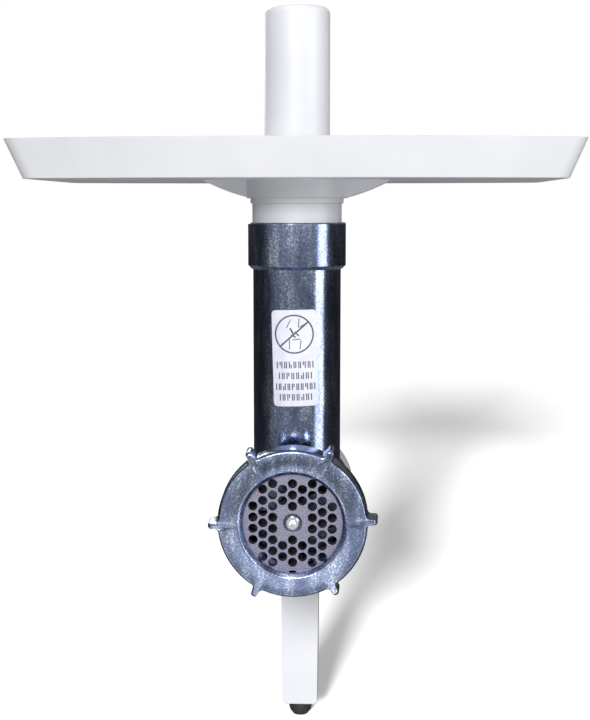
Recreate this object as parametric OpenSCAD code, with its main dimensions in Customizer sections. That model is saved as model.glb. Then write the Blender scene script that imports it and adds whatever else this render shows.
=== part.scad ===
// Meat grinder head driven by an electric kitchen machine.
// The origin is on the worm's axis, in the shoulder plane where the machine's hub stops.
// +Y runs along the worm's axis into the machine, -Y is the side where the mince comes out, +Z is up.

/* [Hole plate] */
// Diameter of the hole plate
plate_d = 54; // [50:0.5:66]
// Thickness of the hole plate
plate_t = 5; // [4:0.5:7]
// Diameter of a mincing hole
hole_d = 4.5; // [3:0.1:4.8]
// Distance between the centres of two neighbouring holes
hole_pitch = 5.5; // [5.2:0.1:7]
// Plain rim around the hole pattern
plate_rim = 2.6; // [2:0.1:5]
// Diameter of the plain land around the plate's centre hole
plate_hub_d = 10.8; // [9.6:0.1:14]
// Depth of the notch in the plate's rim
notch_depth = 3.7; // [2:0.1:3.9]
// Diameter of the pin that stops the plate turning
key_pin_d = 3; // [2:0.1:3.4]

/* [Knife] */
// Thickness of the knife along the axis
knife_t = 8; // [6:0.5:10]
// How much smaller the knife is than the plate, in diameter
knife_step = 5; // [4:0.5:8]
// Number of blades
blades = 4; // [3:1:5]
// Side of the square that drives the knife
knife_square = 9; // [8:0.5:10]

/* [Worm] */
// Outer diameter of the worm
worm_d = 45; // [38:0.5:48]
// Advance of the worm's flight in one turn
worm_pitch = 22; // [18:0.5:28]
// Diameter of the worm's core
worm_core_d = 19; // [16:0.5:22]
// Diameter of the steel shaft
shaft_d = 12; // [9.5:0.5:13]
// Diameter of the stub pin that the plate runs on
stub_d = 7; // [6:0.5:8]
// Gap between the worm and the barrel
worm_gap = 0.5; // [0.3:0.1:1]

/* [Grinder body] */
// Wall of the barrel
barrel_wall = 5; // [4:0.5:7]
// Wall between the plate's seat and the outside of the thread
thread_wall = 4.8; // [4:0.1:7]
// Length of the thread that holds the ring nut
thread_len = 8; // [6:0.5:14]
// Advance of the ring nut in one turn
thread_pitch = 4; // [3:0.5:5]
// Thickness of the barrel's rear wall
rear_wall_t = 6; // [5:0.5:9]
// Outer diameter of the feed tube
tube_d = 44; // [40:0.5:54]
// Wall of the feed tube
tube_wall = 4; // [3.5:0.1:6]
// Height of the feed tube's rim above the worm's axis
feed_height = 143; // [110:0.5:170]
// Height of the thick collar at the top of the feed tube
collar_h = 23; // [20:0.5:34]
// Wall of the collar around the tray's neck
collar_wall = 2; // [1.5:0.1:4]

/* [Machine spigot] */
// Outer diameter of the spigot that plugs into the machine
spigot_d = 40; // [38:0.5:46]
// Length of the spigot
spigot_len = 30; // [26:1:40]
// Wall of the spigot
spigot_wall = 3.5; // [3:0.1:5]
// Width of the key slot in the spigot's end
key_slot_w = 6; // [4:0.5:8]
// Across flats of the drive socket
drive_socket_af = 14; // [12:0.5:16]

/* [Ring nut] */
// Depth of the ring nut
ring_depth = 14; // [12:0.5:24]
// Bare barrel between the ring nut and the feed tube
ring_clear = 11.5; // [1:0.5:20]
// Wall of the ring nut around the thread
ring_wall = 3.75; // [3:0.05:6]
// Diameter of the ring nut's mouth
ring_mouth_d = 49.5; // [46:0.5:51]
// Thickness of the lip that holds the plate
lip_t = 3.5; // [2.5:0.1:5]
// Number of grip lugs
lugs = 6; // [4:1:8]
// How far a lug stands out
lug_h = 4.7; // [3:0.1:7]
// Thickness of a lug
lug_t = 2.8; // [2.4:0.1:5]

/* [Tray] */
// Width of the tray at its rim
tray_w = 273; // [230:1:340]
// Depth of the tray at its rim
tray_depth = 165; // [140:1:200]
// Height of the tray's wall
tray_h = 18.5; // [15:0.5:30]
// How far the wall leans outwards
tray_flare = 7; // [4:0.5:10]
// How far the long sides bulge
tray_bulge = 14; // [6:1:20]
// How far the tray's middle lies behind the feed tube
tray_shift = 20; // [0:1:30]
// Thickness of the tray's plastic
tray_wall = 2.4; // [2:0.1:3.5]
// Half of the length of the trough under the tray
trough_half = 46.8; // [40:0.2:60]
// Depth of the trough under the tray's floor
trough_drop = 11.7; // [10:0.1:14]
// Diameter of the collar under the tray
tray_collar_d = 50.2; // [48:0.1:58]
// Height of the tray's floor above the feed tube's rim
tray_lift_h = 21; // [18:0.5:30]
// Height of the collar under the tray
tray_collar_h = 9; // [8:0.5:12]

/* [Pusher] */
// Diameter of the pusher
pusher_d = 32.6; // [28:0.1:33.4]
// Height of the pusher above the tray's floor
pusher_rise = 83.5; // [60:0.5:120]
// Gap between the pusher's end and the worm
pusher_stop = 15.5; // [12:0.5:30]
// Wall of the pusher
pusher_wall = 2.5; // [2:0.1:4]
// Width of the pusher's stop flange
pusher_flange_w = 4.5; // [3:0.1:5]

/* [Support leg] */
// Height of the worm's axis above the table
axis_height = 128.5; // [105:0.5:155]
// Width of the leg under the clamp
leg_w_top = 20.8; // [18:0.1:26]
// Width of the leg at its end
leg_w_end = 18.9; // [16:0.1:24]
// Depth of the leg and its clamp
leg_depth = 20; // [16:0.5:26]
// Wall of the clamp's ring
clamp_wall = 5; // [4:0.1:7]
// Wall of the leg
leg_wall = 2.6; // [2:0.1:4]
// Diameter of the rubber foot
foot_d = 13.6; // [11:0.1:15]
// Height of the rubber foot below the leg
foot_h = 8; // [3:0.1:12]

/* [Safety label] */
// Width of the label round the tube
label_w = 22; // [16:0.5:26]
// Height of the label
label_h = 47.4; // [36:0.2:56]

/* [Hidden] */
$fn = 64;

cast = [0.62, 0.65, 0.72];
steel = [0.72, 0.73, 0.75];
white = [0.93, 0.93, 0.94];
nylon = [0.85, 0.84, 0.78];
rubber = [0.05, 0.05, 0.055];
bronze = [0.66, 0.52, 0.32];
paper = [0.88, 0.89, 0.95];

// Named clearances
cut = 1;               // how far a cut runs past a face
running = 0.06;        // shaft in its bush, pin in its plate
plate_gap = 0.2;       // plate in its seat
knife_gap = 0.6;       // knife in its chamber
face_gap = 0.05;       // turning faces that run against still ones
thread_gap = 0.1;      // ring nut on the body's thread
neck_gap = 0.15;       // tray's neck in the collar
clamp_gap = 0.1;       // leg's clamp on its seat
leg_gap = 0.5;         // leg's clamp beside the shoulders
screw_gap = 0.15;      // screws in their holes
collar_step = 2.25;    // the tray's collar stands out at least this far past its neck
seat_overlap = 3.2;    // the pusher's flange reaches at least this far past the tube's bore

// Places along Y, from the machine towards the mouth
shoulder_t = 3;
washer_t = 2;
tube_inset = 8.5;       // from the barrel's rear face to the feed tube
plate_proud = 1;       // how far the plate stands out of the body's rim
seat_len = leg_depth + 2 * leg_gap;
y_rear = -(shoulder_t + seat_len);
y_wall = y_rear - rear_wall_t;
y_worm = y_wall - washer_t;
y_tube = y_rear - tube_inset - tube_d / 2;
y_ring_back = y_tube - tube_d / 2 - ring_clear;
y_ring = y_ring_back - ring_depth;
y_plate = y_ring + lip_t;
y_plate_back = y_plate + plate_t;
y_knife_back = y_plate_back + knife_t;
y_rim = y_plate + plate_proud;
y_thread_end = y_rim + thread_len;
y_relief = min(y_plate + thread_len + 0.4, y_ring_back - 2.5);
y_head = max(y_ring_back - 2, y_thread_end + 2);
y_ledge = y_plate_back + 0.5;
y_tray = y_tube + tray_shift;
y_leg = -(shoulder_t + leg_gap + leg_depth / 2);

// Radii about the worm's axis
plate_r = plate_d / 2;
seat_r = plate_r + plate_gap;
thread_r = seat_r + thread_wall;
thread_depth = 1;
knife_r = plate_r - knife_step / 2;
chamber_r = knife_r + knife_gap;
worm_r = worm_d / 2;
bore_r = min(worm_r + worm_gap, chamber_r - 0.5);
barrel_r = bore_r + barrel_wall;
head_r = thread_r - thread_depth;
bush_wall = 3;
bush_r = shaft_d / 2 + running + bush_wall;
boss_r = bush_r + 4;
leg_seat_r = spigot_d / 2 + 3;
cavity_r = spigot_d / 2 - spigot_wall;
ring_bore_r = thread_r + thread_gap;
ring_r = ring_bore_r + ring_wall;
key_pin_r = key_pin_d / 2;
key_r = seat_r - 0.8;

// Rear bearing
bush_len = 18;
seal_len = 4;
y_boss = y_wall + bush_len + seal_len + 2;

// Feed tube, collar and neck
bore_tube_r = tube_d / 2 - tube_wall;
neck_r = tube_d / 2 + 0.35;
socket_r = neck_r + neck_gap;
socket_depth = collar_h - 3;
collar_r = socket_r + collar_wall;
collar_chamfer = 1.8;
neck_len = socket_depth - 0.5;
tray_collar_r = max(tray_collar_d / 2, neck_r + collar_step);

// Tray heights
z_floor = feed_height + tray_lift_h;
z_tray_collar = z_floor - tray_collar_h;
z_seat = z_floor - trough_drop + tray_wall;
trough_r = (pow(trough_half, 2) + pow(trough_drop, 2)) / (2 * trough_drop);
trough_front = 6;      // from the feed tube's axis to the trough's front end
trough_back = 32;      // and to its rear end

// Pusher heights
pusher_r = pusher_d / 2;
z_pusher_end = worm_r + pusher_stop;
z_pusher_top = z_floor + pusher_rise;
pusher_flange_r = max(pusher_r + pusher_flange_w, bore_tube_r + seat_overlap);
pusher_flange_t = 3;
pusher_plug_t = 6;
pusher_round = 3;

// Leg and clamp
clamp_r = leg_seat_r + clamp_gap + clamp_wall;
z_leg_end = -(axis_height - foot_h);
split_w = 3;
ear_t = 7.5;
ear_h = 10;
m4_r = 2;
z_clamp_screw = clamp_r + ear_h / 2;
foot_stem_r = 3;
foot_barb_r = 4.2;

// Drive end
coupling_y = 7;
coupling_len = spigot_len - coupling_y - 1;
coupling_r = 13;
drive_square = shaft_d * 0.7;
square_len = 9;
web_t = 2;
y_socket = coupling_y + square_len + web_t;

// A cylinder of radius r about the worm's axis, from y0 to y1
module turn(r, y0, y1) {
    translate([0, y0, 0]) rotate([-90, 0, 0]) cylinder(r = r, h = y1 - y0);
}

// A ring about the worm's axis
module ring(r_out, r_in, y0, y1) {
    difference() {
        turn(r_out, y0, y1);
        turn(r_in, y0 - cut, y1 + cut);
    }
}

// A profile of [radius, y] points turned about the worm's axis
module revolve(points) {
    rotate([-90, 0, 0]) rotate_extrude() polygon(points);
}

// A square bar along the worm's axis
module square_bar(side, y0, y1) {
    translate([-side / 2, y0, -side / 2]) cube([side, y1 - y0, side]);
}

// Body ------------------------------------------------------------------------------------------

// The male thread is drawn as plain grooves, one for each turn that fits on its length
module body_thread_grooves() {
    turns = floor((thread_len - 1) / thread_pitch);
    for (i = [0 : turns - 1])
        translate([0, y_rim + 1.5 + i * thread_pitch, 0])
            revolve([[thread_r - thread_depth, 0.8], [thread_r - thread_depth, 1.6],
                [thread_r + cut, 3.0], [thread_r + cut, -0.6]]);
}

module body_outside() {
    revolve([[0, y_rim], [thread_r - 1, y_rim], [thread_r, y_rim + 1], [thread_r, y_thread_end],
        [head_r, y_thread_end + 0.8], [head_r, y_head], [barrel_r, y_head + head_r - barrel_r],
        [barrel_r, y_rear - 1], [barrel_r - 1, y_rear], [leg_seat_r, y_rear], [leg_seat_r, -0.6],
        [leg_seat_r - 0.6, 0], [spigot_d / 2, 0], [spigot_d / 2, spigot_len - 1],
        [spigot_d / 2 - 1, spigot_len], [0, spigot_len]]);
    translate([0, y_tube, 0]) cylinder(r = tube_d / 2, h = feed_height - collar_h + cut);
    translate([0, y_tube, 0]) rotate_extrude()
        polygon([[0, feed_height - collar_h], [collar_r - collar_chamfer, feed_height - collar_h],
            [collar_r, feed_height - collar_h + collar_chamfer], [collar_r, feed_height - 0.6],
            [collar_r - 0.6, feed_height], [0, feed_height]]);
}

module body_inside() {
    revolve([[0, y_rim - cut], [seat_r, y_rim - cut], [seat_r, y_ledge], [chamber_r, y_ledge],
        [chamber_r, y_knife_back], [bore_r, y_knife_back], [bore_r, y_wall], [0, y_wall]]);
    turn(bush_r, y_wall - cut, y_boss + cut);
    turn(cavity_r, y_boss, spigot_len + cut);
    if (cavity_r > boss_r + 1) ring(cavity_r, boss_r, y_rear + 2, y_boss + cut);
    translate([0, y_tube, 0]) cylinder(r = bore_tube_r, h = feed_height + cut);
    translate([0, y_tube, feed_height - socket_depth]) cylinder(r = socket_r, h = socket_depth + cut);
}

// Straight grooves that keep the meat from turning with the worm
module barrel_grooves() {
    groove_w = 2.4;
    for (a = [30, 150, 210, 330])
        rotate([0, a, 0])
            translate([bore_r - 1, y_knife_back, -groove_w / 2])
                cube([2, y_tube - y_knife_back + 8, groove_w]);
}

module key_slot() {
    slot_len = 10;
    translate([-key_slot_w / 2, spigot_len - slot_len, cavity_r - 2])
        cube([key_slot_w, slot_len + cut, spigot_wall + 4]);
}

module latch_dimple() {
    dimple_r = 3;
    translate([0, spigot_len / 2, -spigot_d / 2 - cut]) cylinder(r = dimple_r, h = cut + 1.5);
}

module key_pin_body() {
    translate([0, 0, -key_r]) turn(key_pin_r, y_plate + 0.8, y_ledge + 7);
}

module grinder_body() {
    color(cast) difference() {
        body_outside();
        body_inside();
        body_thread_grooves();
        barrel_grooves();
        key_slot();
        latch_dimple();
        key_pin_body();
    }
}

module plate_key_pin() {
    color(steel) key_pin_body();
}

module rear_bush() {
    color(bronze) ring(bush_r, shaft_d / 2 + running, y_wall, y_wall + bush_len);
}

module shaft_seal() {
    color(rubber) difference() {
        turn(bush_r, y_wall + bush_len, y_wall + bush_len + seal_len);
        turn(shaft_d / 2 + running, y_wall, y_boss);
        ring(bush_r - 1, shaft_d / 2 + 1, y_wall + bush_len + 1.5, y_boss);
    }
}

module safety_label() {
    paper_t = 0.3;
    corner = 2;
    z_mid = 77;
    color(paper) intersection() {
        translate([0, y_tube, 0]) difference() {
            cylinder(r = tube_d / 2 + paper_t, h = feed_height - collar_h);
            translate([0, 0, -cut]) cylinder(r = tube_d / 2, h = feed_height);
        }
        translate([0, y_tube, z_mid]) rotate([90, -1.5, 0]) linear_extrude(tube_d) union() {
            square([label_w, label_h - 2 * corner], center = true);
            square([label_w - 2 * corner, label_h], center = true);
            for (x = [-1, 1], z = [-1, 1])
                translate([x * (label_w / 2 - corner), z * (label_h / 2 - corner)]) circle(corner);
        }
    }
}

// Support leg -----------------------------------------------------------------------------------

// The leg tapers in width and in depth: where a front outline and a side outline overlap
module leg_block(inset, z_low, back) {
    z_high = -leg_seat_r - 2;
    top = leg_w_top / 2 - inset;
    end = leg_w_end / 2 - inset;
    front = y_leg - leg_depth / 2 + inset;
    end_chamfer = 1.5;
    intersection() {
        translate([0, y_leg + 2 * leg_depth, 0]) rotate([90, 0, 0]) linear_extrude(4 * leg_depth)
            polygon([[-top, z_high], [-end, z_low + end_chamfer], [-end + end_chamfer, z_low],
                [end - end_chamfer, z_low], [end, z_low + end_chamfer], [top, z_high]]);
        translate([-leg_w_top, 0, 0]) rotate([90, 0, 90]) linear_extrude(2 * leg_w_top)
            polygon([[front, z_high], [front + end_chamfer, z_low], [back, z_low], [back, z_high]]);
    }
}

// The hollow is open at the back, with the ribs left standing in it
module leg_hollow() {
    difference() {
        leg_block(leg_wall, z_leg_end + leg_wall + 0.4, y_leg + leg_depth);
        leg_ribs();
        translate([-leg_w_top, y_leg - leg_depth, -clamp_r - 4])
            cube([2 * leg_w_top, 2 * leg_depth, clamp_r]);
    }
}

module leg_ears() {
    ear_w = split_w + 2 * ear_t;
    translate([-ear_w / 2, y_leg - leg_depth / 2, leg_seat_r + 2])
        cube([ear_w, leg_depth, clamp_r - leg_seat_r - 2 + ear_h]);
}

module leg_ribs() {
    rib_t = 2;
    for (z = [-48 : -24 : z_leg_end + 14])
        translate([-leg_w_end / 2 + 1, y_leg - leg_depth / 2 + 2, z])
            cube([leg_w_end - 2, leg_depth - 4, rib_t]);
}

module support_leg() {
    color(white) difference() {
        union() {
            turn(clamp_r, y_leg - leg_depth / 2, y_leg + leg_depth / 2);
            leg_ears();
            difference() {
                leg_block(0, z_leg_end, y_leg + leg_depth / 2);
                leg_hollow();
            }
        }
        turn(leg_seat_r + clamp_gap, y_leg - leg_depth, y_leg + leg_depth);
        translate([-split_w / 2, y_leg - leg_depth, 0])
            cube([split_w, 2 * leg_depth, clamp_r + ear_h + cut]);
        translate([0, y_leg, z_clamp_screw]) rotate([0, 90, 0])
            cylinder(r = m4_r + screw_gap, h = 4 * ear_t, center = true);
        translate([0, y_leg, z_leg_end - cut]) cylinder(r = foot_stem_r + 0.1, h = leg_wall + 2 * cut);
    }
}

module clamp_screw() {
    head_r = 3.5;
    head_t = 2.8;
    ear_x = split_w / 2 + ear_t;
    color(steel) translate([0, y_leg, z_clamp_screw]) rotate([0, 90, 0]) difference() {
        union() {
            translate([0, 0, -ear_x - 4.5]) cylinder(r = m4_r, h = 2 * ear_x + 5.5);
            translate([0, 0, ear_x + 1]) cylinder(r = head_r, h = head_t);
        }
        translate([-head_r - cut, -0.5, ear_x + 1 + head_t - 1.2]) cube([2 * head_r + 2 * cut, 1, 3]);
    }
}

module clamp_washer() {
    ear_x = split_w / 2 + ear_t;
    color(steel) translate([ear_x, y_leg, z_clamp_screw]) rotate([0, 90, 0]) difference() {
        cylinder(r = 4.3, h = 1);
        translate([0, 0, -cut]) cylinder(r = m4_r + screw_gap, h = 1 + 2 * cut);
    }
}

module clamp_nut() {
    ear_x = split_w / 2 + ear_t;
    nut_r = 7 / sqrt(3);
    color(steel) translate([-ear_x - 3.2, y_leg, z_clamp_screw]) rotate([0, 90, 0]) difference() {
        cylinder(r = nut_r, h = 3.2, $fn = 6);
        translate([0, 0, -cut]) cylinder(r = m4_r, h = 3.2 + 2 * cut);
    }
}

module rubber_foot() {
    color(rubber) translate([0, y_leg, z_leg_end]) rotate_extrude()
        polygon([[0, -foot_h], [foot_d * 0.3, -foot_h], [foot_d * 0.42, -foot_h * 0.72],
            [foot_d * 0.49, -foot_h * 0.3],
            [foot_d / 2, 0], [foot_stem_r, 0], [foot_stem_r, leg_wall + 0.5],
            [foot_barb_r, leg_wall + 0.6], [foot_stem_r - 1, leg_wall + 3.6], [0, leg_wall + 3.6]]);
}

// Worm and drive --------------------------------------------------------------------------------

// Radius of the worm's cross-section at angle a: a broad flight on a round core
function flight(a) = let (
        half_tip = 28,
        half_root = 66,
        off = abs(a > 180 ? a - 360 : a),
        rise = (half_root - off) / (half_root - half_tip))
    worm_core_d / 2 + (worm_r - worm_core_d / 2) * min(1, max(0, rise));

module worm_flight(len) {
    steps = 30;
    slices = ceil(len / worm_pitch * 18);
    linear_extrude(height = len, twist = -360 * len / worm_pitch, slices = slices)
        polygon([for (i = [0 : steps - 1]) let (a = i * 360 / steps) flight(a) * [cos(a), sin(a)]]);
}

module worm() {
    len = y_worm - y_knife_back;
    collar_t = 3;
    color(cast) difference() {
        union() {
            translate([0, y_knife_back, 0]) rotate([-90, 0, 0]) worm_flight(len - collar_t + 0.2);
            turn(worm_r - 1.5, y_worm - collar_t, y_worm);
        }
        turn(shaft_d / 2, y_worm - 24, y_worm + cut);
        turn(stub_d / 2, y_knife_back - cut, y_knife_back + 12);
    }
    color(cast) difference() {
        square_bar(knife_square, y_plate_back + 0.4, y_knife_back);
        turn(stub_d / 2, y_plate_back - cut, y_knife_back + cut);
    }
}

module worm_shaft() {
    color(steel) difference() {
        union() {
            turn(shaft_d / 2, y_worm - 24, coupling_y - 0.5);
            square_bar(drive_square, coupling_y - 0.6, coupling_y + square_len);
        }
        turn(m4_r, coupling_y - 4, coupling_y + square_len + cut);
    }
}

module stub_pin() {
    proud = 0.7;
    color(steel) difference() {
        revolve([[0, y_plate - proud], [stub_d / 2 - 0.7, y_plate - proud], [stub_d / 2, y_plate],
            [stub_d / 2, y_knife_back + 11], [0, y_knife_back + 11]]);
        revolve([[0, y_plate - proud - 0.1], [1.6, y_plate - proud - 0.1], [0, y_plate + 1]]);
    }
}

module knife() {
    hub_r = knife_square * 0.98;
    color(steel) difference() {
        union() {
            turn(hub_r, y_plate_back + face_gap, y_knife_back);
            for (i = [0 : blades - 1]) rotate([0, i * 360 / blades, 0])
                translate([0, y_plate_back + face_gap, 0]) rotate([-90, 0, 0]) linear_extrude(knife_t * 0.7)
                    polygon([[0, -4.2], [knife_r * 0.72, -4.6], [knife_r * 0.97, -2.4],
                        [knife_r * 0.985, 1.6], [knife_r * 0.7, 3.4], [0, 4.6]]);
        }
        square_bar(knife_square + 0.3, y_plate_back - cut, y_knife_back + cut);
    }
}

module thrust_washer() {
    color(nylon) ring(boss_r, shaft_d / 2 + running, y_worm + face_gap, y_wall);
}

module drive_coupling() {
    color(nylon) difference() {
        union() {
            turn(coupling_r, coupling_y, coupling_y + coupling_len);
            turn(coupling_r + 1.5, coupling_y, coupling_y + 3);
        }
        square_bar(drive_square, coupling_y - cut, coupling_y + square_len);
        turn(m4_r + screw_gap, coupling_y, y_socket + cut);
        translate([0, y_socket, 0]) rotate([-90, 0, 0])
            cylinder(r = drive_socket_af / sqrt(3), h = coupling_len, $fn = 6);
        turn(drive_socket_af / sqrt(3) + 0.6, coupling_y + coupling_len - 0.8, spigot_len + cut);
    }
}

module coupling_washer() {
    color(steel) ring(5, m4_r + screw_gap, y_socket, y_socket + 0.8);
}

module coupling_screw() {
    y_head = y_socket + 0.8;
    color(steel) difference() {
        union() {
            turn(m4_r, coupling_y - 3, y_head);
            turn(3.6, y_head, y_head + 2.4);
        }
        for (a = [0, 90]) rotate([0, a, 0]) translate([-2.2, y_head + 1, -0.5]) cube([4.4, 3, 1]);
    }
}

// Plate and ring nut ----------------------------------------------------------------------------

// Centres of the mincing holes: a hexagonal grid, offset by half a pitch
function hole_centres() = [
    for (i = [-6 : 6], j = [-7 : 7]) let (
        x = i * hole_pitch * sqrt(3) / 2,
        z = (j + (abs(i) % 2 == 0 ? 0.5 : 0)) * hole_pitch,
        r = sqrt(x * x + z * z))
    if (r - hole_d / 2 >= plate_hub_d / 2 && r + hole_d / 2 <= plate_r - plate_rim) [x, z]];

module hole_plate() {
    color(steel) difference() {
        turn(plate_r, y_plate, y_plate_back);
        for (c = hole_centres())
            translate([c[0], 0, c[1]]) turn(hole_d / 2, y_plate - cut, y_plate_back + cut);
        turn(stub_d / 2 + running, y_plate - cut, y_plate_back + cut);
        revolve([[0, y_plate - 0.1], [stub_d / 2 + 1.3, y_plate - 0.1], [stub_d / 2, y_plate + 1.2],
            [0, y_plate + 1.2]]);
        translate([-key_pin_r - plate_gap, y_plate - cut, -plate_r - cut])
            cube([2 * (key_pin_r + plate_gap), plate_t + 2 * cut, notch_depth + cut]);
    }
}

module ring_lug(a) {
    tip_r = lug_t / 2 + 0.25;
    lug_angle = 2;
    rotate([0, -a - lug_angle, 0]) {
        translate([ring_r - 0.6, y_ring + 0.4, -lug_t / 2])
            cube([lug_h + 0.6 - tip_r, ring_depth - 1, lug_t]);
        translate([ring_r + lug_h - tip_r, 0, 0]) turn(tip_r, y_ring + 0.4, y_ring_back - 0.6);
    }
}

module ring_nut() {
    mouth_r = ring_mouth_d / 2;
    color(cast) difference() {
        union() {
            revolve([[0, y_ring], [ring_r - 1.2, y_ring], [ring_r, y_ring + 1.2],
                [ring_r, y_ring_back], [0, y_ring_back]]);
            for (i = [0 : lugs - 1]) ring_lug(i * 360 / lugs);
        }
        revolve([[0, y_ring - cut], [mouth_r + 1.4, y_ring - cut], [mouth_r + 1.4, y_ring],
            [mouth_r, y_ring + 1.8], [mouth_r, y_plate], [ring_bore_r, y_plate],
            [ring_bore_r, y_relief], [ring_bore_r + 0.6, y_relief + 0.6],
            [ring_bore_r + 0.6, y_ring_back + cut],
            [0, y_ring_back + cut]]);
    }
}

// Tray and pusher -------------------------------------------------------------------------------

// The tray's outline: two long arcs and two short sides with round corners
module tray_outline(w, d, inset) {
    corner = 9;
    chord = w / 2 - corner;
    r = (pow(chord, 2) + pow(tray_bulge, 2)) / (2 * tray_bulge);
    y_end = d / 2 - tray_bulge - corner;
    hull() {
        for (x = [-1, 1], y = [-1, 1])
            translate([x * chord, y * y_end]) circle(r = corner - inset, $fn = 32);
        for (s = [-1, 1], a = [-0.8 : 0.2 : 0.8]) let (x = a * chord)
            translate([x, s * (y_end + tray_bulge - r + sqrt(r * r - x * x))])
                circle(r = corner - inset, $fn = 32);
    }
}

module tray_pan(w, d, z0, z1, inset) {
    hull() {
        translate([0, y_tray, z0]) linear_extrude(0.01)
            tray_outline(w - 2 * tray_flare, d - 2 * tray_flare, inset);
        translate([0, y_tray, z1 - 0.01]) linear_extrude(0.01) tray_outline(w, d, inset);
    }
}

// The trough under the floor: a slice of a large cylinder lying across the tray
module trough(r, inset) {
    low = z_floor - trough_drop - cut;
    intersection() {
        translate([0, y_tube - trough_front + inset, z_floor + trough_r - trough_drop]) rotate([-90, 0, 0])
            cylinder(r = r, h = trough_front + trough_back - 2 * inset);
        translate([-trough_half, y_tube - trough_front - cut, low])
            cube([2 * trough_half, trough_front + trough_back + 2 * cut, z_floor + tray_wall + 0.2 - low]);
    }
}

module tray() {
    color(white) difference() {
        union() {
            tray_pan(tray_w, tray_depth, z_floor, z_floor + tray_h, 0);
            trough(trough_r, 0);
            translate([0, y_tube, z_tray_collar]) cylinder(r = tray_collar_r, h = tray_collar_h + 1);
            translate([0, y_tube, z_tray_collar - 2.6]) cylinder(r = neck_r + 0.9, h = 3);
            translate([0, y_tube, feed_height - neck_len]) cylinder(r = neck_r, h = neck_len + tray_lift_h);
        }
        tray_pan(tray_w, tray_depth, z_floor + tray_wall, z_floor + tray_h + 0.2, tray_wall);
        trough(trough_r - tray_wall, tray_wall);
        translate([0, y_tube, z_seat])
            cylinder(r = tray_collar_r - tray_wall, h = tray_collar_h + trough_drop);
        translate([0, y_tube, 0]) cylinder(r = bore_tube_r, h = 2 * z_floor);
    }
}

module pusher_shell() {
    inner_r = pusher_r - pusher_wall;
    z_flange = z_seat + 0.05;
    color(white) translate([0, y_tube, 0]) difference() {
        union() {
            translate([0, 0, z_pusher_end])
                cylinder(r = pusher_r, h = z_pusher_top - z_pusher_end - pusher_round);
            translate([0, 0, z_flange]) cylinder(r = pusher_flange_r, h = pusher_flange_t);
            translate([0, 0, z_pusher_top - pusher_round]) rotate_extrude() intersection() {
                union() {
                    square([pusher_r - pusher_round, pusher_round]);
                    translate([pusher_r - pusher_round, 0]) circle(pusher_round);
                }
                square([pusher_r, pusher_round]);
            }
        }
        translate([0, 0, z_pusher_end - cut])
            cylinder(r = inner_r, h = z_pusher_top - z_pusher_end + cut - 3);
    }
}

module pusher_plug() {
    inner_r = pusher_r - pusher_wall;
    color(white) translate([0, y_tube, z_pusher_end]) difference() {
        cylinder(r = inner_r, h = pusher_plug_t);
        translate([0, 0, 2]) cylinder(r = inner_r - 2, h = pusher_plug_t);
    }
}

grinder_body();
plate_key_pin();
rear_bush();
shaft_seal();
safety_label();
support_leg();
clamp_screw();
clamp_washer();
clamp_nut();
rubber_foot();
worm();
worm_shaft();
stub_pin();
knife();
thrust_washer();
drive_coupling();
coupling_washer();
coupling_screw();
hole_plate();
ring_nut();
tray();
pusher_shell();
pusher_plug();
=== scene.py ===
import math

import bpy
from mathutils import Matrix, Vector


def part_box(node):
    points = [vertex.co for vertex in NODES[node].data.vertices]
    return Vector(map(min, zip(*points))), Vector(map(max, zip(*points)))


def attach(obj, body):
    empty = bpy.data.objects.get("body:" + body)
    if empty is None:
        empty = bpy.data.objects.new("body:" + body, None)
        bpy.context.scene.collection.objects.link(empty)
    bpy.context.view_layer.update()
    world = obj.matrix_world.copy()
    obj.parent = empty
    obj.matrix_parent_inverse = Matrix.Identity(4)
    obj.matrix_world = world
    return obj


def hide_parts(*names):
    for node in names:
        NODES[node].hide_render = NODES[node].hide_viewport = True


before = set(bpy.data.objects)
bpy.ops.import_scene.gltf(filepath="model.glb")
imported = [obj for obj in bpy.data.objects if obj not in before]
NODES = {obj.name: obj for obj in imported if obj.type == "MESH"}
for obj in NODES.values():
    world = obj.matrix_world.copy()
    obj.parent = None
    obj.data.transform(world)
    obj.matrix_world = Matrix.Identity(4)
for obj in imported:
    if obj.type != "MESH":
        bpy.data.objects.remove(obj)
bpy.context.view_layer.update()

MM = 0.001


# Places taken from the frame ----------------------------------------------------------------------

ring_low, ring_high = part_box("ring_nut")
label_low, label_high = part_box("safety_label")
FLOOR_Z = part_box("rubber_foot")[0].z


# Finishes -----------------------------------------------------------------------------------------

def srgb(code):
    """An sRGB hex colour as linear RGBA."""
    parts = [int(code[i:i + 2], 16) / 255 for i in (1, 3, 5)]
    return [p / 12.92 if p <= 0.04045 else ((p + 0.055) / 1.055) ** 2.4 for p in parts] + [1.0]


def grey(value):
    return [value, value, value, 1.0]


def add(tree, kind, inputs=None, stops=(), **settings):
    """Adds a node with its settings; an input is a value or another node's socket, stops are a ramp's."""
    made = tree.nodes.new(kind)
    if stops:
        elements = made.color_ramp.elements
        elements[0].position, elements[0].color = stops[0]
        elements[1].position, elements[1].color = stops[-1]
        for position, colour in stops[1:-1]:
            elements.new(position).color = colour
    for name, value in settings.items():
        setattr(made, name, value)
    for name, value in (inputs or {}).items():
        if isinstance(value, bpy.types.NodeSocket):
            tree.links.new(value, made.inputs[name])
        else:
            made.inputs[name].default_value = value
    return made


def start(name):
    """An empty material with its shader, and the piece's own coordinates."""
    made = bpy.data.materials.new(name)
    made.use_nodes = True
    tree = made.node_tree
    tree.nodes.clear()
    shader = add(tree, "ShaderNodeBsdfPrincipled")
    add(tree, "ShaderNodeOutputMaterial", {"Surface": shader.outputs[0]})
    place = add(tree, "ShaderNodeTexCoord").outputs["Object"]
    return made, tree, shader, place


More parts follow.
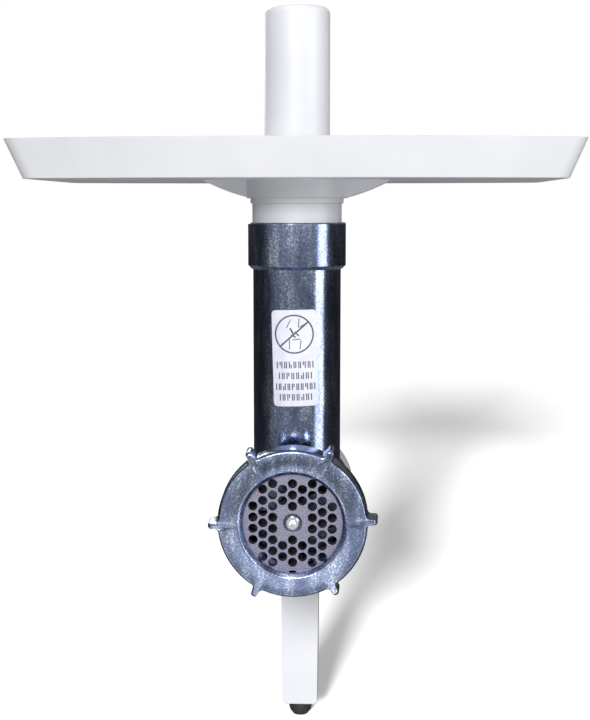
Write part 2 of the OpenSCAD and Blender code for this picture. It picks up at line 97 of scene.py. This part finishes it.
def tint(tree, shader, pattern, *stops):
    """The shader's colour follows a pattern through (position, hex colour) stops."""
    colour = add(tree, "ShaderNodeValToRGB", {"Fac": pattern}, [(at, srgb(code)) for at, code in stops])
    tree.links.new(colour.outputs[0], shader.inputs["Base Color"])


def gloss(tree, shader, pattern, smoothest, roughest):
    """The shader's roughness follows a pattern between two values."""
    rough = add(tree, "ShaderNodeMapRange", {"Value": pattern, "To Min": smoothest, "To Max": roughest})
    tree.links.new(rough.outputs[0], shader.inputs["Roughness"])


def relief(tree, shader, pattern, strength, depth, edge_radius=0):
    """A pattern stands proud by a depth in millimetres, over edges that look rounded by a radius."""
    bump = add(tree, "ShaderNodeBump", {"Height": pattern, "Strength": strength, "Distance": depth * MM})
    if edge_radius:
        edge = add(tree, "ShaderNodeBevel", {"Radius": edge_radius * MM}, samples=4)
        tree.links.new(edge.outputs[0], bump.inputs["Normal"])
    tree.links.new(bump.outputs[0], shader.inputs["Normal"])


# Die-cast aluminium, tumbled bright: cool grey, fine pits and pale flecks, rounded edges, satin gloss
def tumbled_cast_aluminium():
    made, tree, shader, place = start("tumbled_cast_aluminium")
    grit = add(tree, "ShaderNodeTexNoise",
               {"Vector": place, "Scale": 1 / (0.9 * MM), "Detail": 5.0, "Roughness": 0.7})
    drawn = add(tree, "ShaderNodeMapping", {"Vector": place, "Scale": (1.0, 1.0, 0.22)})
    patch = add(tree, "ShaderNodeTexNoise",
                {"Vector": drawn.outputs[0], "Scale": 1 / (5 * MM), "Detail": 4.0})
    both = add(tree, "ShaderNodeMix", {0: 0.40, 2: grit.outputs["Fac"], 3: patch.outputs["Fac"]})
    tint(tree, shader, both.outputs[0], (0.38, "#5F6A86"), (0.52, "#8490AE"), (0.63, "#D0D7E6"))
    gloss(tree, shader, both.outputs[0], 0.11, 0.22)
    shader.inputs["Metallic"].default_value = 1.0
    relief(tree, shader, both.outputs[0], 0.14, 0.15, edge_radius=0.6)
    return made


# The same cast aluminium for the worm, tinted a dull dark grey as painted shade for the dark inside behind
# the plate's holes; slightly rough
def painted_shade_cast_aluminium():
    made, tree, shader, place = start("painted_shade_cast_aluminium")
    painted_shade_mottle = add(tree, "ShaderNodeTexNoise", {"Vector": place, "Scale": 1 / (1.2 * MM), "Detail": 4.0})
    # the dark grey tint is painted shade: it darkens the worm seen through the holes
    tint(tree, shader, painted_shade_mottle.outputs["Fac"], (0.35, "#41454F"), (0.65, "#666B78"))
    gloss(tree, shader, painted_shade_mottle.outputs["Fac"], 0.38, 0.55)
    shader.inputs["Metallic"].default_value = 1.0
    return made


# Hardened tool steel, lapped flat: even matt grey with a speckle, drawn coarser than the lapping grit
def lapped_tool_steel():
    made, tree, shader, place = start("lapped_tool_steel")
    speckle = add(tree, "ShaderNodeTexNoise",
                  {"Vector": place, "Scale": 1 / (0.45 * MM), "Detail": 4.0, "Roughness": 0.7})
    tint(tree, shader, speckle.outputs["Fac"], (0.32, "#545365"), (0.50, "#757486"), (0.68, "#A5A4B4"))
    gloss(tree, shader, speckle.outputs["Fac"], 0.42, 0.56)
    shader.inputs["Metallic"].default_value = 1.0
    relief(tree, shader, speckle.outputs["Fac"], 0.12, 0.03)
    return made


# Steel for the knife, tinted near-black grey as painted shade for the dark inside behind the plate's holes
def painted_shade_knife_steel():
    made, tree, shader, place = start("painted_shade_knife_steel")
    scale = add(tree, "ShaderNodeTexNoise", {"Vector": place, "Scale": 1 / (1.5 * MM), "Detail": 4.0})
    # the near-black tint is painted shade: it darkens the knife seen through the holes
    tint(tree, shader, scale.outputs["Fac"], (0.35, "#0E0E10"), (0.65, "#232327"))
    gloss(tree, shader, scale.outputs["Fac"], 0.4, 0.6)
    shader.inputs["Metallic"].default_value = 1.0
    return made


# Turned stainless steel: bright, with a faint fine unevenness left by the tool
def turned_stainless_steel():
    made, tree, shader, place = start("turned_stainless_steel")
    marks = add(tree, "ShaderNodeTexNoise", {"Vector": place, "Scale": 1 / (0.6 * MM), "Detail": 2.0})
    tint(tree, shader, marks.outputs["Fac"], (0.3, "#B4B7BD"), (0.7, "#DADCE0"))
    gloss(tree, shader, marks.outputs["Fac"], 0.16, 0.28)
    shader.inputs["Metallic"].default_value = 1.0
    return made


# Injection-moulded white ABS: near-white, satin, a spark-eroded texture drawn coarser than it is
def moulded_white_abs():
    made, tree, shader, place = start("moulded_white_abs")
    grain = add(tree, "ShaderNodeTexNoise", {"Vector": place, "Scale": 1 / (0.8 * MM), "Detail": 2.0})
    cloud = add(tree, "ShaderNodeTexNoise", {"Vector": place, "Scale": 1 / (45 * MM), "Detail": 2.0})
    tint(tree, shader, cloud.outputs["Fac"], (0.3, "#DADCE1"), (0.7, "#E3E4E8"))
    gloss(tree, shader, grain.outputs["Fac"], 0.34, 0.46)
    shader.inputs["IOR"].default_value = 1.54
    relief(tree, shader, grain.outputs["Fac"], 0.06, 0.05, edge_radius=0.8)
    return made


# Natural polyamide: warm off-white and waxy
def natural_nylon():
    made, tree, shader, place = start("natural_nylon")
    cloud = add(tree, "ShaderNodeTexNoise", {"Vector": place, "Scale": 1 / (6 * MM), "Detail": 3.0})
    tint(tree, shader, cloud.outputs["Fac"], (0.3, "#CFC9B4"), (0.7, "#E2DDCB"))
    gloss(tree, shader, cloud.outputs["Fac"], 0.38, 0.5)
    shader.inputs["IOR"].default_value = 1.53
    return made


# Moulded nitrile rubber: black, with a dusty bloom
def moulded_black_rubber():
    made, tree, shader, place = start("moulded_black_rubber")
    bloom = add(tree, "ShaderNodeTexNoise", {"Vector": place, "Scale": 1 / (1.5 * MM), "Detail": 5.0})
    tint(tree, shader, bloom.outputs["Fac"], (0.35, "#121214"), (0.75, "#2B2B2E"))
    gloss(tree, shader, bloom.outputs["Fac"], 0.5, 0.75)
    shader.inputs["IOR"].default_value = 1.52
    relief(tree, shader, bloom.outputs["Fac"], 0.2, 0.1)
    return made


# Sintered bearing bronze: brown-gold, with dark pores
def sintered_bronze():
    made, tree, shader, place = start("sintered_bronze")
    pores = add(tree, "ShaderNodeTexNoise", {"Vector": place, "Scale": 1 / (0.7 * MM), "Detail": 4.0})
    tint(tree, shader, pores.outputs["Fac"], (0.35, "#6B5230"), (0.6, "#B08D57"))
    gloss(tree, shader, pores.outputs["Fac"], 0.3, 0.5)
    shader.inputs["Metallic"].default_value = 1.0
    return made


# Self-adhesive vinyl label: cool white film with a soft gloss
def white_vinyl_film():
    made, tree, shader, place = start("white_vinyl_film")
    wrinkle = add(tree, "ShaderNodeTexNoise", {"Vector": place, "Scale": 1 / (5 * MM), "Detail": 3.0})
    tint(tree, shader, wrinkle.outputs["Fac"], (0.3, "#D6D8E8"), (0.7, "#E6E7F3"))
    gloss(tree, shader, wrinkle.outputs["Fac"], 0.36, 0.5)
    shader.inputs["IOR"].default_value = 1.5
    return made


# Screen-printed ink: dark grey and matt, slightly uneven
def dark_print_ink():
    made, tree, shader, place = start("dark_print_ink")
    uneven = add(tree, "ShaderNodeTexNoise", {"Vector": place, "Scale": 1 / (0.5 * MM), "Detail": 2.0})
    tint(tree, shader, uneven.outputs["Fac"], (0.3, "#3C3F4C"), (0.7, "#5C5F6C"))
    gloss(tree, shader, uneven.outputs["Fac"], 0.55, 0.7)
    return made


# Matt white paper with a weak glow of its own, so that it stays white far away
def pale_floor():
    made, tree, shader, place = start("pale_floor")
    fibre = add(tree, "ShaderNodeTexNoise", {"Vector": place, "Scale": 1 / (3 * MM), "Detail": 2.0})
    tint(tree, shader, fibre.outputs["Fac"], (0.3, "#F2F2F3"), (0.7, "#F8F8F9"))
    shader.inputs["Roughness"].default_value = 0.95
    shader.inputs["Emission Color"].default_value = grey(1.0)
    shader.inputs["Emission Strength"].default_value = 0.20
    return made


CAST = tumbled_cast_aluminium()
INK = dark_print_ink()
NODE_FINISH = {
    CAST: ["grinder_body", "ring_nut"],
    painted_shade_cast_aluminium(): ["worm"],
    lapped_tool_steel(): ["hole_plate"],
    painted_shade_knife_steel(): ["knife"],
    turned_stainless_steel(): ["plate_key_pin", "worm_shaft", "stub_pin", "clamp_screw", "clamp_washer",
                               "clamp_nut", "coupling_washer", "coupling_screw"],
    moulded_white_abs(): ["tray", "support_leg", "pusher_shell", "pusher_plug"],
    natural_nylon(): ["thrust_washer", "drive_coupling"],
    moulded_black_rubber(): ["shaft_seal", "rubber_foot"],
    sintered_bronze(): ["rear_bush"],
    white_vinyl_film(): ["safety_label"],
}
for finish, names in NODE_FINISH.items():
    for name in names:
        NODES[name].data.materials.clear()
        NODES[name].data.materials.append(finish)


# Modelling tools ----------------------------------------------------------------------------------

def begin(name):
    """Names the primitive that was just added."""
    made = bpy.context.object
    made.name = name
    made.data.name = name
    return made


def clear_selection():
    if bpy.context.object and bpy.context.object.mode != "OBJECT":
        bpy.ops.object.mode_set(mode="OBJECT")
    bpy.ops.object.select_all(action="DESELECT")


def use(piece):
    clear_selection()
    piece.select_set(True)
    bpy.context.view_layer.objects.active = piece


def settle(piece, finish, body, slot, *replaced, angle=35):
    """Puts the piece's place in its mesh, smooths it, gives it its finish, hangs it on its body and hides
    the parts it replaces.
    """
    use(piece)
    bpy.ops.object.transform_apply(location=True, rotation=True, scale=True)
    bpy.ops.object.shade_smooth_by_angle(angle=math.radians(angle))
    piece.data.materials.clear()
    piece.data.materials.append(finish)
    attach(piece, body)
    if replaced:
        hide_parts(*replaced)


def soften(profile, steps=5):
    """Rounds the corners of a closed (radius, height, fillet) outline into (radius, height) points."""
    out = []
    for i, (r, h, fillet) in enumerate(profile):
        here = Vector((r, h))
        before = Vector(profile[i - 1][:2]) - here
        after = Vector(profile[(i + 1) % len(profile)][:2]) - here
        if fillet == 0:
            out.append((r, h))
            continue
        a, b = before.normalized(), after.normalized()
        half = a.angle(b) / 2
        reach = fillet / math.tan(half)
        middle = here + (a + b).normalized() * fillet / math.sin(half)
        start_at, end_at = here + a * reach - middle, here + b * reach - middle
        for k in range(steps + 1):
            p = middle + start_at.slerp(end_at, k / steps)
            out.append((p.x, p.y))
    return out


def turned(name, outline, steps):
    """A lathe shape: a closed outline of (radius, height) points in millimetres, spun round the Y axis."""
    weld = 0.002 * MM
    clear_selection()
    bpy.ops.mesh.primitive_plane_add(size=MM)
    piece = begin(name)
    bpy.ops.object.mode_set(mode="EDIT")
    bpy.ops.mesh.select_all(action="SELECT")
    bpy.ops.mesh.merge(type="CENTER")
    bpy.ops.transform.translate(value=(outline[0][0] * MM, 0, outline[0][1] * MM))
    for before, after in zip(outline, outline[1:] + outline[:1]):
        step = ((after[0] - before[0]) * MM, 0, (after[1] - before[1]) * MM)
        bpy.ops.mesh.extrude_region_move(TRANSFORM_OT_translate={"value": step})
    bpy.ops.mesh.select_all(action="SELECT")
    bpy.ops.mesh.remove_doubles(threshold=weld)
    bpy.ops.mesh.select_all(action="SELECT")
    bpy.ops.mesh.spin(steps=steps, angle=2 * math.pi, center=(0, 0, 0), axis=(0, 0, 1))
    bpy.ops.mesh.select_all(action="SELECT")
    bpy.ops.mesh.remove_doubles(threshold=weld)
    bpy.ops.mesh.select_all(action="SELECT")
    bpy.ops.mesh.normals_make_consistent(inside=False)
    bpy.ops.object.mode_set(mode="OBJECT")
    piece.rotation_euler = (math.radians(-90), 0, 0)
    bpy.ops.object.transform_apply(location=True, rotation=True, scale=True)
    return piece


def pick(piece, wanted):
    """Selects the vertices whose place passes the test, and leaves the piece open for editing."""
    use(piece)
    bpy.ops.object.mode_set(mode="EDIT")
    bpy.ops.mesh.select_mode(type="VERT")
    bpy.ops.mesh.select_all(action="DESELECT")
    bpy.ops.object.mode_set(mode="OBJECT")
    for vertex in piece.data.vertices:
        vertex.select = wanted(vertex.co)
    bpy.ops.object.mode_set(mode="EDIT")


def modify(piece, kind, **settings):
    """Adds a modifier with its settings and applies it."""
    use(piece)
    made = piece.modifiers.new(kind.lower(), kind)
    for name, value in settings.items():
        setattr(made, name, value)
    bpy.ops.object.modifier_apply(modifier=made.name)


# Camera, light and floor --------------------------------------------------------------------------

CAMERA_PLACE = (31.6, -702.6, 150.4)
CAMERA_TILT, CAMERA_TURN = 6.749, 2.88
CAMERA_LENS = 64.47
OBJECT_MIDDLE = (0, -0.06, 0.08)
TUBE_MIDDLE = (0, -0.054, 0.08)
WORLD_FOR_GLOSS, WORLD_FOR_THE_REST = 1.7, 0.36
PAPER_BOUNCE = 5.5
# The world's brightness from straight down (0) to straight up (1)
BY_HEIGHT = [(0.0, grey(0.9)), (0.33, grey(0.95)), (0.41, grey(0.19)), (0.48, grey(0.17)),
             (0.54, grey(0.85)), (0.62, grey(1.0)), (1.0, grey(1.0))]
# and from the camera's side of the object (0) to the far side (1)
BY_DEPTH = [(0.18, grey(1.0)), (0.36, grey(0.24)), (0.60, grey(0.11))]


def camera():
    data = bpy.data.cameras.new("camera")
    made = bpy.data.objects.new("camera", data)
    bpy.context.scene.collection.objects.link(made)
    data.lens = CAMERA_LENS
    data.sensor_width = 36.0
    made.location = Vector(CAMERA_PLACE) * MM
    made.rotation_euler = (math.radians(90 - CAMERA_TILT), 0.0, math.radians(CAMERA_TURN))
    data.clip_start, data.clip_end = 0.01, 20.0
    bpy.context.scene.camera = made


def light(data, direction, place=(0, 0, 0)):
    """Puts a light in the scene, shining along a direction."""
    made = bpy.data.objects.new(data.name, data)
    bpy.context.scene.collection.objects.link(made)
    made.location = Vector(place)
    made.rotation_mode = "QUATERNION"
    made.rotation_quaternion = Vector(direction).to_track_quat("-Z", "Y")
    return made


def softbox(name, place, target, width, height, power):
    """A rectangular light in metres and watts, aimed at a point."""
    data = bpy.data.lights.new(name, "AREA")
    data.shape = "RECTANGLE"
    data.size, data.size_y, data.energy = width, height, power
    return light(data, Vector(target) - Vector(place), place)


def sunlight(name, direction, strength, softness):
    """An even light from one side; the direction runs from the light to the object."""
    data = bpy.data.lights.new(name, "SUN")
    data.energy, data.angle = strength, math.radians(softness)
    return light(data, direction)


def surround():
    """Bright above and in front, dim behind and at the horizon, more from straight below; seen as white."""
    world = bpy.data.worlds.new("studio")
    bpy.context.scene.world = world
    world.use_nodes = True
    world.cycles.sampling_method = "NONE"
    tree = world.node_tree
    tree.nodes.clear()
    direction = add(tree, "ShaderNodeTexCoord").outputs["Generated"]
    parts = add(tree, "ShaderNodeSeparateXYZ", {0: direction}).outputs
    upward = add(tree, "ShaderNodeMapRange", {"Value": parts["Z"], "From Min": -1.0})
    height = add(tree, "ShaderNodeValToRGB", {"Fac": upward.outputs[0]}, BY_HEIGHT)
    backward = add(tree, "ShaderNodeMapRange", {"Value": parts["Y"], "From Min": -1.0})
    depth = add(tree, "ShaderNodeValToRGB", {"Fac": backward.outputs[0]}, BY_DEPTH)
    shade = add(tree, "ShaderNodeMix", {0: 1.0, 6: height.outputs[0], 7: depth.outputs[0]},
                data_type="RGBA", blend_type="MULTIPLY")
    ray = add(tree, "ShaderNodeLightPath").outputs
    strength = add(tree, "ShaderNodeMapRange",
                   {"Value": ray["Is Glossy Ray"], "To Min": WORLD_FOR_THE_REST, "To Max": WORLD_FOR_GLOSS})
    bounce = add(tree, "ShaderNodeMapRange",
                 {"Value": ray["Is Glossy Ray"], "To Min": PAPER_BOUNCE, "To Max": 1.0})
    paper = add(tree, "ShaderNodeMapRange", {"Value": parts["Z"], "From Min": -0.5, "From Max": -0.65,
                                             "To Min": 1.0, "To Max": bounce.outputs[0]})
    whole = add(tree, "ShaderNodeMath", {0: strength.outputs[0], 1: paper.outputs[0]}, operation="MULTIPLY")
    lit = add(tree, "ShaderNodeBackground", {"Color": shade.outputs[2], "Strength": whole.outputs[0]})
    seen = add(tree, "ShaderNodeBackground", {"Color": grey(1.0), "Strength": 1.0})
    both = add(tree, "ShaderNodeMixShader", {0: ray["Is Camera Ray"], 1: lit.outputs[0], 2: seen.outputs[0]})
    add(tree, "ShaderNodeOutputWorld", {"Surface": both.outputs[0]})


def studio():
    """A broad window for the object, a low one for the paper alone, three softboxes, and the paper."""
    surround()
    window = sunlight("window", (0.13, 0.90, -0.42), strength=2.4, softness=22)
    paper_window = sunlight("paper_window", (0.13, 0.95, -0.27), strength=8.8, softness=7.5)
    softbox("strip", (1.08, -0.57, 0.15), TUBE_MIDDLE, width=0.50, height=1.6, power=9)
    softbox("top", (-0.1, -0.35, 1.3), OBJECT_MIDDLE, width=0.8, height=0.8, power=3)
    rear = softbox("rear", (-0.5, 1.2, 0.75), OBJECT_MIDDLE, width=1.0, height=1.0, power=14)
    clear_selection()
    bpy.ops.mesh.primitive_plane_add(size=40.0, location=(0, 0, FLOOR_Z))
    floor = begin("floor")
    floor.data.materials.append(pale_floor())
    floor.visible_glossy = False
    floor.visible_diffuse = False
    paper_only = bpy.data.collections.new("paper_only")
    paper_only.objects.link(floor)
    paper_window.light_linking.receiver_collection = paper_only
    not_paper = bpy.data.collections.new("not_paper")
    not_paper.objects.link(floor)
    not_paper.collection_objects[0].light_linking.link_state = "EXCLUDE"
    window.light_linking.receiver_collection = not_paper
    rear.light_linking.receiver_collection = not_paper


# Ring nut, in millimetres -------------------------------------------------------------------------

RING_STEPS = 720
RING_R, MOUTH_R, THREAD_R = 35.85, 24.75, 32.1
CONE_R, CONE_DROP = 33.2, 0.95
LIP = 3.5
GROOVES, GROOVE_PITCH, GROOVE_DEPTH = 2, 4, 0.6
THREAD_LENGTH, RELIEF_DEPTH = 8, 0.6
LUGS, LUG_LEAN, LUG_R = 6, 2.0, 40.55
LUG_TIP_R, LUG_FILLET = 1.55, 1.9


def ring_outline():
    """The ring's section: a coned face, a chamfered mouth, and a bore with grooves and a relief."""
    front, back = ring_low.y / MM, ring_high.y / MM
    lip = front + LIP
    groove = [(THREAD_R + deep, lip + 1 + GROOVE_PITCH * k + along, 0) for k in range(GROOVES)
              for deep, along in ((0, 0), (GROOVE_DEPTH, 0.7), (GROOVE_DEPTH, 1.3), (0, 2))]
    face = [(MOUTH_R + 1.5, front, 0.25), (CONE_R, front + CONE_DROP, 0),
            (RING_R - 1.2, front + 1.15, 0.4), (RING_R, front + 2.2, 0.8), (RING_R, back, 0.5)]
    relieved = [(THREAD_R + RELIEF_DEPTH, back, 0.3),
                (THREAD_R + RELIEF_DEPTH, lip + THREAD_LENGTH + 0.6, 0.1),
                (THREAD_R, lip + THREAD_LENGTH, 0.1)]
    mouth = [(THREAD_R, lip, 0), (MOUTH_R, lip, 0.2), (MOUTH_R, front + 1.8, 0.3)]
    return soften(face + relieved + groove[::-1] + mouth)


def lug_rise(across):
    """How far a lug stands above the rim, at a distance across from its middle: a round tip, a fillet."""
    if across <= LUG_TIP_R:
        return LUG_R - RING_R - LUG_TIP_R + math.sqrt(LUG_TIP_R ** 2 - across ** 2)
    return LUG_FILLET - math.sqrt(LUG_FILLET ** 2 - (LUG_TIP_R + LUG_FILLET - across) ** 2)


def ring_nut():
    """The turned ring, with its lugs pulled out of the rim a column of points at a time."""
    ring = turned("ring_nut_casting", ring_outline(), RING_STEPS)
    step = 2 * math.pi / RING_STEPS
    reach = int((LUG_TIP_R + LUG_FILLET) / (step * RING_R))
    outside_the_cone = (CONE_R + 0.2) * MM
    for k in range(-reach, reach + 1):
        across = [math.radians(LUG_LEAN + 360 / LUGS * n) + k * step for n in range(LUGS)]
        columns = set(round(a / step) % RING_STEPS for a in across)
        pick(ring, lambda p: math.hypot(p.x, p.z) > outside_the_cone
             and round(math.atan2(p.z, p.x) / step) % RING_STEPS in columns)
        scale = (RING_R + lug_rise(abs(k) * step * RING_R)) / RING_R
        bpy.ops.transform.resize(value=(scale, 1, scale), center_override=(0, 0, 0))
        bpy.ops.object.mode_set(mode="OBJECT")
    settle(ring, CAST, "ring", "cast_aluminium", "ring_nut", angle=40)


# Print on the label, in millimetres ---------------------------------------------------------------

LABEL_LEAN = math.radians(-1.5)
LABEL_Z = (label_low.z + label_high.z) / 2 / MM
LABEL_GAP = 2
CIRCLE_Z, CIRCLE_R, CIRCLE_LINE = 11.9, 9.6, 0.75
TALL, SHORT, STROKE_WIDTH = 3.3, 1.9, 0.55
PAIR_SHIFT = 0.14
# A long stroke is divided at this step, so that it bends with the label
BEND_STEP = 1.2
INK_PROUD = 0.03

# Each row: height above the label's middle, width, pairs of strokes
ROWS = [(-3.2, 18.4, 8), (-8.6, 16.6, 7), (-14.0, 19.6, 9), (-19.2, 16.2, 7)]

# In the circle: the bar, then short lines. Each: place from the circle's middle, length, width, degrees
STROKES = [(0, 0, 18.4, 0.8, 40),
           (-2.6, 5.2, 4.6, 0.45, 62), (2.4, 5.4, 4.4, 0.45, 84), (4.2, 4.2, 3.6, 0.45, 30),
           (-2.4, -5.0, 4.8, 0.45, 88), (3.0, -5.2, 4.6, 0.45, 82), (1.0, -2.6, 4.0, 0.45, 6),
           (-1.2, 1.6, 3.2, 0.9, 118), (1.3, 0.2, 3.0, 0.7, 128), (-0.4, -0.9, 2.6, 0.7, 150)]


def mark(x, z, length, width, turn):
    """One short stroke of the print, flat in front of the label."""
    away = math.radians(turn) - LABEL_LEAN
    px = x * math.cos(LABEL_LEAN) + z * math.sin(LABEL_LEAN)
    pz = z * math.cos(LABEL_LEAN) - x * math.sin(LABEL_LEAN)
    clear_selection()
    bpy.ops.mesh.primitive_grid_add(
        x_subdivisions=max(1, round(length / BEND_STEP)), y_subdivisions=1, size=MM,
        location=(px * MM, label_low.y - LABEL_GAP * MM, (LABEL_Z + pz) * MM),
        rotation=(math.radians(90), -away, 0))
    made = begin("print_mark")
    made.scale = (length, width, 1)
    return made


def circle_line():
    """The circle without its bar, flat in front of the label."""
    clear_selection()
    bpy.ops.mesh.primitive_circle_add(
        vertices=96, radius=CIRCLE_R * MM, fill_type="NGON", rotation=(math.radians(90), 0, 0),
        location=(CIRCLE_Z * math.sin(LABEL_LEAN) * MM, label_low.y - LABEL_GAP * MM,
                  (LABEL_Z + CIRCLE_Z) * MM))
    circle = begin("label_print")
    bpy.ops.object.transform_apply(location=True, rotation=True, scale=True)
    bpy.ops.object.mode_set(mode="EDIT")
    bpy.ops.mesh.select_all(action="SELECT")
    bpy.ops.mesh.inset(thickness=CIRCLE_LINE * MM, use_even_offset=True)
    bpy.ops.mesh.delete(type="FACE")
    bpy.ops.object.mode_set(mode="OBJECT")
    return circle


def label_print():
    """A barred circle over four rows of short upright strokes, laid on the curve of the label."""
    circle = circle_line()
    marks = [mark(x, CIRCLE_Z + z, length, width, turn) for x, z, length, width, turn in STROKES]
    for z, width, pairs in ROWS:
        # about every fifth stroke is short, and stands high or low in its row
        for k in range(2 * pairs):
            x = width * ((k + 0.5) / (2 * pairs) - 0.5) + (PAIR_SHIFT if k % 2 else -PAIR_SHIFT)
            tall = TALL if (k * 7 + pairs) % 5 else SHORT
            lift = (TALL - tall) / 2 * (1 if k % 3 else -1)
            marks.append(mark(x, z + lift, tall, STROKE_WIDTH, 90))
    use(circle)
    for made in marks:
        made.select_set(True)
    bpy.ops.object.transform_apply(location=True, rotation=True, scale=True)
    bpy.ops.object.join()
    modify(circle, "SHRINKWRAP", target=NODES["safety_label"], wrap_method="PROJECT", use_project_y=True,
           use_positive_direction=True, use_negative_direction=False, offset=INK_PROUD * MM)
    settle(circle, INK, "root", "label")


camera()
studio()
ring_nut()
label_print()
bpy.context.scene.view_settings.view_transform = "Standard"
